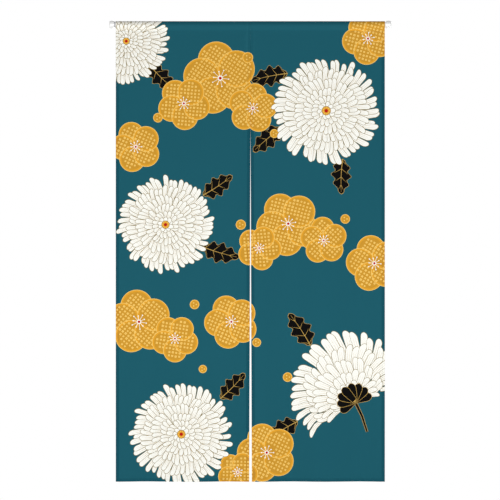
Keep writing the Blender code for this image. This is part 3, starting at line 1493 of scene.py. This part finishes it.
    def build(self, materials: dict[Ink, bpy.types.Material]) -> bpy.types.Object:
        """Makes the panel's mesh: the printed face, the wrong side and the rim between them.

        Args:
            materials: The material of each ink.

        Returns:
            The finished piece.
        """
        flat, triangles, painted_on = self.cut()
        count = len(flat)
        front = self.cloth.face(self.side, flat)
        back = self.cloth.face(self.side, flat, wrong=True)
        ways = triangles[:, [0, 1, 1, 2, 2, 0]].reshape(-1, 2)
        seen = set(map(tuple, ways.tolist()))
        rim = [(b, a, a + count, b + count) for a, b in seen if (b, a) not in seen]
        faces = triangles.tolist() + (triangles[:, ::-1] + count).tolist() + sorted(rim)
        mesh = bpy.data.meshes.new(self.name)
        mesh.from_pydata((np.concatenate([front, back]) * MM).tolist(), [], faces)
        for ink in Ink:
            mesh.materials.append(materials[ink])
        inks = np.concatenate([painted_on, painted_on, np.zeros(len(rim), int)])
        mesh.polygons.foreach_set("material_index", inks)
        # Painted shade and highlight, kept on the points for the fills' material.
        tone = self.cloth.tone(self.side, flat)
        mesh.attributes.new("painted_shade_and_highlight", "FLOAT", "POINT").data.foreach_set("value", np.tile(tone, 2))
        wrong = np.repeat([0.0, 1.0, 0.5], [len(triangles), len(triangles), len(rim)])
        mesh.attributes.new("wrong_side", "FLOAT", "FACE").data.foreach_set("value", wrong)
        self.add_maps(mesh, flat, len(triangles))
        mesh.shade_smooth()
        self.set_normals(mesh, flat, len(triangles))
        piece = bpy.data.objects.new(self.name, mesh)
        bpy.context.scene.collection.objects.link(piece)
        LOG.info("%s: %d faces on each side, %d on the rim", self.name, len(triangles), len(rim))
        return piece

    def add_maps(self, mesh: bpy.types.Mesh, flat: np.ndarray, count: int) -> None:
        """Gives the mesh its flat-cloth map in millimetres and a map for baking.

        Args:
            mesh: The panel's mesh.
            flat: The flat points.
            count: How many triangles the printed face has.
        """
        corners = np.empty(len(mesh.loops), int)
        mesh.loops.foreach_get("vertex_index", corners)
        faces = np.repeat(np.arange(len(mesh.polygons)), [p.loop_total for p in mesh.polygons])
        place = flat[corners % len(flat)]
        behind = corners >= len(flat)
        back = (faces >= count) & (faces < 2 * count)
        low = self.cloth.edges(self.side, np.array([self.cloth.length]))[0][0]
        wide, tall = self.cloth.width / 2 + 1, self.cloth.length
        share, rise = (place[:, 0] - low) / wide, place[:, 1] / tall
        sheet = self.sheet
        over = sheet.left + sheet.face * share + sheet.pitch * back
        up = sheet.foot + sheet.tall * rise
        on_rim = faces >= 2 * count
        run = (rise + (share > 0.5) + share * sheet.rim_lean) / (2 + 2 * sheet.rim_lean)
        over[on_rim] = (sheet.rim + sheet.rim_width * behind)[on_rim]
        up[on_rim] = (sheet.foot + sheet.rim_tall * run)[on_rim]
        mesh.uv_layers.new(name="FlatCloth").data.foreach_set("uv", place.ravel())
        mesh.uv_layers.new(name="OFBake").data.foreach_set("uv", np.stack([over, up], 1).ravel())

    def set_normals(self, mesh: bpy.types.Mesh, flat: np.ndarray, count: int) -> None:
        """Shades both faces by the cloth's own surface, wherever the print is cut.

        Args:
            mesh: The panel's mesh.
            flat: The flat points.
            count: How many triangles the printed face has.
        """
        front = self.cloth.normals(self.side, flat)
        back = self.cloth.normals(self.side, flat, wrong=True)
        corners = np.empty(len(mesh.loops), int)
        mesh.loops.foreach_get("vertex_index", corners)
        out = np.concatenate([front, back])[corners]
        for polygon in mesh.polygons[2 * count :]:
            for corner in polygon.loop_indices:
                out[corner] = polygon.normal
        mesh.normals_split_custom_set(out.tolist())

    def dress(self, piece: bpy.types.Object) -> None:
        """Args:
            piece: The panel's piece.
        """
        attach(piece, BODY)
        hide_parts(self.node)


@dataclass
class Stitching:
    """The lockstitches of one panel, laid by a Geometry Nodes tree along flat-cloth lines.

    Attributes:
        side: Which half of the curtain they are on.
        cloth: The cloth's sizes and hang.
        pitch: From one stitch to the next.
        long: The length of a stitch.
        thread: The thread's radius.
        sunk: How far the thread's middle stands off the cloth, in radii.
        below_sleeve: How far below the sleeve the side seams end.
        side_inset: How far from the panel's edges the sleeve's seam ends.
        seam_drop: How far below the sleeve's start its own seam runs.
        side_step: From one point of a side seam's path to the next.
        cross_step: The same along the foot and the sleeve.
    """

    side: Side
    cloth: Cloth
    pitch: float = 4.6
    long: float = 3.6
    thread: float = 0.26
    sunk: float = 0.3
    below_sleeve: float = 4.0
    side_inset: float = 2.0
    seam_drop: float = 1.0
    side_step: float = 12.0
    cross_step: float = 10.0

    @property
    def name(self) -> str:
        """The piece's name."""
        return f"stitches_{self.side.name.lower()}"

    def runs(self) -> list[np.ndarray]:
        """The lines of stitching on the flat cloth.

        Returns:
            Flat places along the left hem, the right hem, the foot and the sleeve.
        """
        cloth, inset = self.cloth, self.cloth.stitch_inset
        up = even_rows(inset, cloth.sleeve_up - self.below_sleeve, self.side_step)
        left, right = cloth.edges(self.side, up)
        low, high = cloth.edges(self.side, np.array([cloth.sleeve_up]))
        foot = even_rows(left[0] + inset, right[0] - inset, self.cross_step)
        ends = (float(low[0]) + self.side_inset, float(high[0]) - self.side_inset)
        head = even_rows(*ends, self.cross_step)
        return [
            np.stack([left + inset, up], 1),
            np.stack([right - inset, up], 1),
            np.stack([foot, np.full_like(foot, inset)], 1),
            np.stack([head, np.full_like(head, cloth.sleeve_up - self.seam_drop)], 1),
        ]

    def thread_path(self) -> bpy.types.Object:
        """The lines of stitching on both faces of the hung cloth, as bare edges.

        Returns:
            An object whose mesh has these edges and no faces.
        """
        points, lines = [], []
        for flat in self.runs():
            for wrong in (False, True):
                out = self.cloth.normals(self.side, flat, wrong)
                laid = self.cloth.face(self.side, flat, wrong) + out * self.sunk * self.thread
                first = len(points)
                points += (laid * MM).tolist()
                lines += [(i, i + 1) for i in range(first, len(points) - 1)]
        mesh = bpy.data.meshes.new("thread path")
        mesh.from_pydata(points, lines, [])
        path = bpy.data.objects.new("thread path", mesh)
        bpy.context.scene.collection.objects.link(path)
        return path

    def tree(self, material: bpy.types.Material) -> bpy.types.NodeTree:
        """The Geometry Nodes tree that lays a spindle of thread at each pitch along a path.

        Args:
            material: The thread's material.

        Returns:
            The tree, with inputs named Pitch, Long and Thread, in metres.
        """
        tree = bpy.data.node_groups.new("Lockstitch", "GeometryNodeTree")
        tree.interface.new_socket("Path", in_out="INPUT", socket_type="NodeSocketGeometry")
        for title in ("Pitch", "Long", "Thread"):
            tree.interface.new_socket(title, in_out="INPUT", socket_type="NodeSocketFloat")
        tree.interface.new_socket("Stitches", in_out="OUTPUT", socket_type="NodeSocketGeometry")
        graph = Graph(tree)
        given = graph.add("NodeGroupInput").outputs
        curve = graph.add("GeometryNodeMeshToCurve", {0: given["Path"]})
        even = graph.add("GeometryNodeResampleCurve", {"Curve": curve.outputs[0]}, mode="LENGTH")
        graph.feed(even.inputs["Length"], given["Pitch"])
        tangent = graph.add("GeometryNodeInputTangent")
        turn = graph.add("FunctionNodeAlignRotationToVector", {"Vector": tangent.outputs[0]}, axis="Z")
        grain = graph.add("GeometryNodeMeshIcoSphere", {"Radius": 0.5, "Subdivisions": 1})
        size = graph.add("ShaderNodeCombineXYZ", {"Z": given["Long"]})
        double = graph.math("MULTIPLY", given["Thread"], 2.0)
        graph.feed(size.inputs["X"], double)
        graph.feed(size.inputs["Y"], double)
        laid = graph.add("GeometryNodeInstanceOnPoints", {"Points": even.outputs[0]})
        graph.feed(laid.inputs["Instance"], grain.outputs["Mesh"])
        graph.feed(laid.inputs["Rotation"], turn.outputs[0])
        graph.feed(laid.inputs["Scale"], size.outputs[0])
        real = graph.add("GeometryNodeRealizeInstances", {0: laid.outputs[0]})
        dressed = graph.add("GeometryNodeSetMaterial", {"Geometry": real.outputs[0]})
        graph.feed(dressed.inputs["Material"], material)
        graph.feed(graph.add("NodeGroupOutput").inputs[0], dressed.outputs[0])
        return tree

    def build(self, tree: bpy.types.NodeTree) -> bpy.types.Object:
        """Runs the tree on the panel's path and keeps the result as a plain mesh.

        Args:
            tree: The stitch tree.

        Returns:
            The finished piece.
        """
        path = self.thread_path()
        modifier = path.modifiers.new("Stitches", "NODES")
        modifier.node_group = tree
        sizes = {"Pitch": self.pitch * MM, "Long": self.long * MM, "Thread": self.thread * MM}
        for item in tree.interface.items_tree:
            if item.item_type == "SOCKET" and item.in_out == "INPUT" and item.name in sizes:
                modifier[item.identifier] = sizes[item.name]
        seen = path.evaluated_get(bpy.context.evaluated_depsgraph_get())
        mesh = bpy.data.meshes.new_from_object(seen)
        mesh.name = self.name
        mesh.shade_smooth()
        piece = bpy.data.objects.new(self.name, mesh)
        bpy.context.scene.collection.objects.link(piece)
        path.modifiers.remove(modifier)
        bpy.data.objects.remove(path)
        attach(piece, BODY)
        LOG.info("%s: %d faces", self.name, len(mesh.polygons))
        return piece


@dataclass(frozen=True)
class Lamp:
    """A broad soft square light.

    Attributes:
        name: What it is called.
        place: Where it is, in metres.
        side: The length of its side, in metres.
        power: Its power in watts.
    """

    name: str
    place: tuple[float, float, float]
    side: float
    power: float

    def hang(self, aim: tuple[float, float, float]) -> None:
        """Puts the light in the scene.

        Args:
            aim: The place that it points at, in metres.
        """
        lamp = bpy.data.lights.new(self.name, "AREA")
        lamp.shape = "SQUARE"
        lamp.size = self.side
        lamp.energy = self.power
        holder = bpy.data.objects.new(self.name, lamp)
        holder.location = self.place
        way = Vector(aim) - holder.location
        holder.rotation_euler = way.to_track_quat("-Z", "Y").to_euler()
        bpy.context.scene.collection.objects.link(holder)


@dataclass(frozen=True)
class Studio:
    """The plain white room: soft light, a pale floor and the camera.

    Attributes:
        pixel: What one pixel of the picture spans on the cloth, in millimetres.
        picture: The picture's side in pixels.
        cloth_middle: The pixel at the middle of the cloth, across and down.
        lens: The camera's focal length in millimetres.
        sensor: The width of its sensor in millimetres.
        far: How far the camera sees, in metres.
        ambient: The strength of the light from all round.
        lamps: The soft lights.
        aim: The place that they point at, in metres.
        floor_half: Half the floor's side in metres.
        floor_z: The floor's height in metres.
        floor_colour: The floor's colour.
        floor_roughness: How matt the floor is.
        floor_glow: What the floor shines by itself, in place of a lamp over it.
    """

    pixel: float = 3.16
    picture: int = 500
    cloth_middle: tuple[float, float] = (250.3, 251.4)
    lens: float = 200.0
    sensor: float = 36.0
    far: float = 60.0
    ambient: float = 0.18
    lamps: tuple[Lamp, ...] = (
        Lamp("front softbox", (0.0, -7.0, -1.35), 2.4, 321.0),
        Lamp("back softbox", (1.2, 6.0, -0.9), 3.0, 300.0),
    )
    aim: tuple[float, float, float] = (0.0, 0.0, -0.72)
    floor_half: float = 4.0
    floor_z: float = -1.9
    floor_colour: tuple[float, float, float, float] = (0.83, 0.83, 0.82, 1.0)
    floor_roughness: float = 0.9
    floor_glow: float = 0.4

    def light_world(self) -> None:
        """A white room, seen directly and in gloss, that lights the cloth a little from all round."""
        world = bpy.data.worlds.new("white room")
        bpy.context.scene.world = world
        world.use_nodes = True
        graph = Graph(world.node_tree)
        world.node_tree.nodes.clear()
        seen = graph.add("ShaderNodeBackground", {"Color": (1, 1, 1, 1), "Strength": 1.0})
        shed = graph.add("ShaderNodeBackground", {"Color": (1, 1, 1, 1), "Strength": self.ambient})
        ray = graph.add("ShaderNodeLightPath")
        mirrored = graph.math("MAXIMUM", ray.outputs["Is Camera Ray"], ray.outputs["Is Glossy Ray"])
        both = graph.add("ShaderNodeMixShader", {0: mirrored})
        graph.feed(both.inputs[1], shed.outputs[0])
        graph.feed(both.inputs[2], seen.outputs[0])
        graph.feed(graph.add("ShaderNodeOutputWorld").inputs[0], both.outputs[0])
        bpy.context.scene.view_settings.view_transform = "Standard"

    def lay_floor(self) -> None:
        """A broad pale floor well below the cloth."""
        mesh = bpy.data.meshes.new("floor")
        signs = ((-1, -1), (1, -1), (1, 1), (-1, 1))
        corners = [(x * self.floor_half, y * self.floor_half, self.floor_z) for x, y in signs]
        mesh.from_pydata(corners, [], [(0, 1, 2, 3)])
        material = bpy.data.materials.new("pale floor")
        material.use_nodes = True
        shader = material.node_tree.nodes["Principled BSDF"]
        shader.inputs["Base Color"].default_value = self.floor_colour
        shader.inputs["Roughness"].default_value = self.floor_roughness
        shader.inputs["Emission Color"].default_value = (1.0, 1.0, 1.0, 1.0)
        shader.inputs["Emission Strength"].default_value = self.floor_glow
        mesh.materials.append(material)
        floor = bpy.data.objects.new("floor", mesh)
        bpy.context.scene.collection.objects.link(floor)

    def set_camera(self, cloth: Cloth) -> None:
        """A long lens square to the cloth, framed as in the picture.

        Args:
            cloth: The cloth that is framed.
        """
        camera = bpy.data.cameras.new("camera")
        camera.lens, camera.sensor_width = self.lens, self.sensor
        camera.clip_end = self.far
        across, down = self.cloth_middle
        half = self.picture / 2
        middle_z = (cloth.top_z + cloth.foot_z) / 2
        holder = bpy.data.objects.new("camera", camera)
        place = (
            (half - across) * self.pixel,
            cloth.front_y - self.picture * self.pixel * self.lens / self.sensor,
            middle_z + (down - half) * self.pixel,
        )
        holder.location = [part * MM for part in place]
        holder.rotation_euler = (math.radians(90), 0.0, 0.0)
        bpy.context.scene.collection.objects.link(holder)
        bpy.context.scene.camera = holder

    def set_up(self, cloth: Cloth) -> None:
        """Makes the whole room for the cloth.

        Args:
            cloth: The cloth that is lit and framed.
        """
        self.set_camera(cloth)
        self.light_world()
        for lamp in self.lamps:
            lamp.hang(self.aim)
        self.lay_floor()


@dataclass(frozen=True)
class RodFinish:
    """A finish for the rod's hard pieces, with faint uneven tone and gloss.

    Attributes:
        title: What it is.
        colour: Red, green and blue from 0 to 1.
        roughness: How matt it is.
        grain: How fine its unevenness is, in waves a metre.
        relief: The depth of its bumps in metres.
        gloss: The weight of the clear gloss over it.
        gloss_index: How strongly that gloss bends light.
        dull: The brightness of its dullest spots, as a share of the full colour.
        uneven: How much its roughness comes and goes.
        bump: How strongly its bumps show.
    """

    title: str
    colour: tuple[float, float, float]
    roughness: float
    grain: float
    relief: float
    gloss: float = 0.0
    gloss_index: float = 1.7
    dull: float = 0.93
    uneven: float = 0.16
    bump: float = 0.6

    def material(self) -> bpy.types.Material:
        """The finish as a material.

        Returns:
            The new material.
        """
        material = bpy.data.materials.new(self.title)
        material.use_nodes = True
        graph = Graph(material.node_tree)
        shader = material.node_tree.nodes["Principled BSDF"]
        shader.inputs["Coat Weight"].default_value = self.gloss
        shader.inputs["Coat Roughness"].default_value = self.roughness
        shader.inputs["Coat IOR"].default_value = self.gloss_index
        place = graph.add("ShaderNodeTexCoord").outputs["Object"]
        noise = graph.add("ShaderNodeTexNoise", {"Vector": place, "Scale": self.grain, "Detail": 3.0})
        tone = graph.add("ShaderNodeMix", {"Factor": noise.outputs[0]}, data_type="RGBA")
        tone.inputs["A"].default_value = (*(self.dull * level for level in self.colour), 1.0)
        tone.inputs["B"].default_value = (*self.colour, 1.0)
        graph.feed(shader.inputs["Base Color"], tone.outputs["Result"])
        least = self.roughness - self.uneven / 2
        rough = graph.math("MULTIPLY_ADD", noise.outputs[0], self.uneven, least)
        graph.feed(shader.inputs["Roughness"], rough)
        bump = graph.add("ShaderNodeBump", {"Height": noise.outputs[0], "Strength": self.bump})
        bump.inputs["Distance"].default_value = self.relief
        graph.feed(shader.inputs["Normal"], bump.outputs[0])
        return material


STEEL = RodFinish("white coated steel", (0.9, 0.9, 0.89), 0.32, 900.0, 0.00002)
WHITE_PLASTIC = RodFinish("white moulded plastic", (0.95, 0.95, 0.94), 0.3, 1500.0, 0.00002, gloss=1.0)
# Painted shade: a grey for the left end's collar, where the foot and the cloth shade the rod.
PAINTED_SHADE_GREY = RodFinish("collar grey painted as shade", (0.54, 0.54, 0.56), 0.55, 1500.0, 0.00003)


@dataclass
class RodEnd:
    """One moulded end of the rod: a rounded foot with a ringed face, and a collar behind it.

    Attributes:
        side: Which end it is.
        foot: The foot's depth along the rod.
        collar: The collar's length along the rod.
        end_x: How far its outer face is from the curtain's middle.
        radius: The foot's radius.
        rounding: The radius of its rounded outer edge.
        ring_radius: The middle of the ring in its outer face.
        groove: Half the width of the ring and of the groove round the foot, at their mouth.
        groove_depth: Their depth.
        groove_inset: From the groove's middle to the foot's inner end.
        chamfer: The width of the foot's inner chamfer.
        collar_radius: The collar's radius.
        collar_chamfer: The collar's chamfer, along the rod and across it.
        bore_radius: The radius of the bore that the rod's end is in.
        bore_depth: From the outer face to the bore's end.
        steps: How many sides a round has.
    """

    side: Side
    foot: float
    collar: float
    end_x: float = 445.0
    radius: float = 12.0
    rounding: float = 3.6
    ring_radius: float = 6.0
    groove: float = 0.8
    groove_depth: float = 0.45
    groove_inset: float = 2.6
    chamfer: float = 0.6
    collar_radius: float = 9.35
    collar_chamfer: tuple[float, float] = (0.4, 0.3)
    bore_radius: float = 9.05
    bore_depth: float = 8.1
    steps: int = 56

    @property
    def name(self) -> str:
        """The piece's name."""
        return f"rod_foot_{self.side.name.lower()}"

    def profile(self) -> tuple[list[tuple[float, float]], list[int]]:
        """The turned outline, from the middle of the outer face round to the bore's end.

        Returns:
            Depths and radii, and for each stretch between them 0 for the foot or 1 for the collar.
        """
        r, rounding, foot = self.radius, self.rounding, self.foot
        half, deep = self.groove, self.groove_depth
        groove = ((-half, 0.0), (-half / 2, deep), (half / 2, deep), (half, 0.0))
        out = [(0.0, 0.0)]
        out += [(sunk, self.ring_radius + along) for along, sunk in groove]
        out.append((0.0, r - rounding))
        for turn in np.radians([20, 40, 60, 80]):
            out.append((rounding * (1 - math.cos(turn)), r - rounding * (1 - math.sin(turn))))
        out.append((rounding, r))
        out += [(foot - self.groove_inset + along, r - sunk) for along, sunk in groove]
        out += [(foot - self.chamfer, r), (foot, r - self.chamfer)]
        seam = len(out)
        end, (along, across) = foot + self.collar, self.collar_chamfer
        out += [(foot, self.collar_radius), (end - along, self.collar_radius)]
        out += [(end, self.collar_radius - across), (end, self.bore_radius)]
        out += [(self.bore_depth, self.bore_radius), (self.bore_depth, 0.0)]
        parts = [1 if seam <= i < seam + 3 else 0 for i in range(len(out) - 1)]
        return out, parts

    def build(self, foot: bpy.types.Material, collar: bpy.types.Material) -> bpy.types.Object:
        """Turns the outline about the rod's axis.

        Args:
            foot: The foot's material.
            collar: The collar's material.

        Returns:
            The finished piece.
        """
        outline, parts = self.profile()
        turns = 2 * np.pi * np.arange(self.steps) / self.steps
        points, rings = [], []
        for depth, radius in outline:
            x = self.side.value * (self.end_x - depth)
            around = turns if radius > 0 else turns[:1]
            rings.append(range(len(points), len(points) + len(around)))
            points += [(x * MM, radius * math.cos(t) * MM, radius * math.sin(t) * MM) for t in around]
        faces, kinds = [], []
        for ring_a, ring_b, part in zip(rings, rings[1:], parts):
            for i in range(self.steps):
                j = (i + 1) % self.steps
                corners = [ring_a[i % len(ring_a)], ring_b[i % len(ring_b)]]
                corners += [ring_b[j % len(ring_b)], ring_a[j % len(ring_a)]]
                face = list(dict.fromkeys(corners))
                faces.append(face if self.side is Side.LEFT else face[::-1])
                kinds.append(part)
        mesh = bpy.data.meshes.new(self.name)
        mesh.from_pydata(points, [], faces)
        mesh.materials.append(foot)
        mesh.materials.append(collar)
        mesh.polygons.foreach_set("material_index", kinds)
        mesh.shade_smooth()
        mesh.set_sharp_from_angle(angle=math.radians(38))
        piece = bpy.data.objects.new(self.name, mesh)
        bpy.context.scene.collection.objects.link(piece)
        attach(piece, BODY)
        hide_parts(f"rod_cap_{self.side.name.lower()}")
        LOG.info("%s: %d faces", self.name, len(faces))
        return piece


def main() -> None:
    """Builds and dresses the curtain and its rod in their room."""
    logging.basicConfig(level=logging.INFO, format="%(name)s %(message)s")
    cloth = Cloth()
    Studio().set_up(cloth)
    weave, dyed = weave_group(), dye_and_shade_group()
    finish = ClothFinish()
    materials = {ink: finish.material(ink, weave, dyed) for ink in Ink}
    for side in Side:
        sewing = Stitching(side, cloth)
        stitches = sewing.build(sewing.tree(materials[Ink.GROUND]))
        panel = Panel(side, cloth)
        panel.dress(panel.build(materials))
    plastic = WHITE_PLASTIC.material()
    # The left collar's grey is painted shade; the right collar is white like its foot.
    RodEnd(Side.LEFT, foot=14.6, collar=4.7).build(plastic, PAINTED_SHADE_GREY.material())
    RodEnd(Side.RIGHT, foot=15.6, collar=3.0).build(plastic, plastic)
    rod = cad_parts["rod"]
    rod.data.materials.clear()
    rod.data.materials.append(STEEL.material())
    LOG.info("rod: %s", STEEL.title)


if __name__ == "__main__":
    main()
